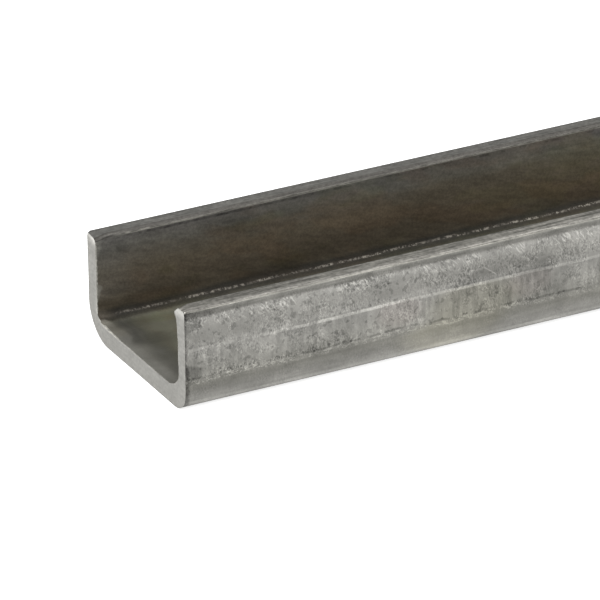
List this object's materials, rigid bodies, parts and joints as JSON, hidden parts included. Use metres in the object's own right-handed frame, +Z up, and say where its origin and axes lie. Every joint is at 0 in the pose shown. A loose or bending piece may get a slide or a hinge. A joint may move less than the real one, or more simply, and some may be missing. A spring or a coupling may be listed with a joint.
{
  "type": "steel u-channel",
  "caption": "Straight length of steel U-channel: a flat web with an upright flange along each side and sawn ends, used as a frame rail, track, edge guard or stiffener.",
  "frame": {"origin": "on the floor under the middle of the web, at half the length", "axes": "+X along the length, +Y across the web towards the rounder bend, +Z up towards the flange tips"},
  "size_m": [0.3048, 0.0382, 0.02],
  "materials": {
    "hot_rolled_steel": "satin"
  },
  "bodies": {
    "root": {"u_channel": "hot_rolled_steel"}
  },
  "joints": []
}
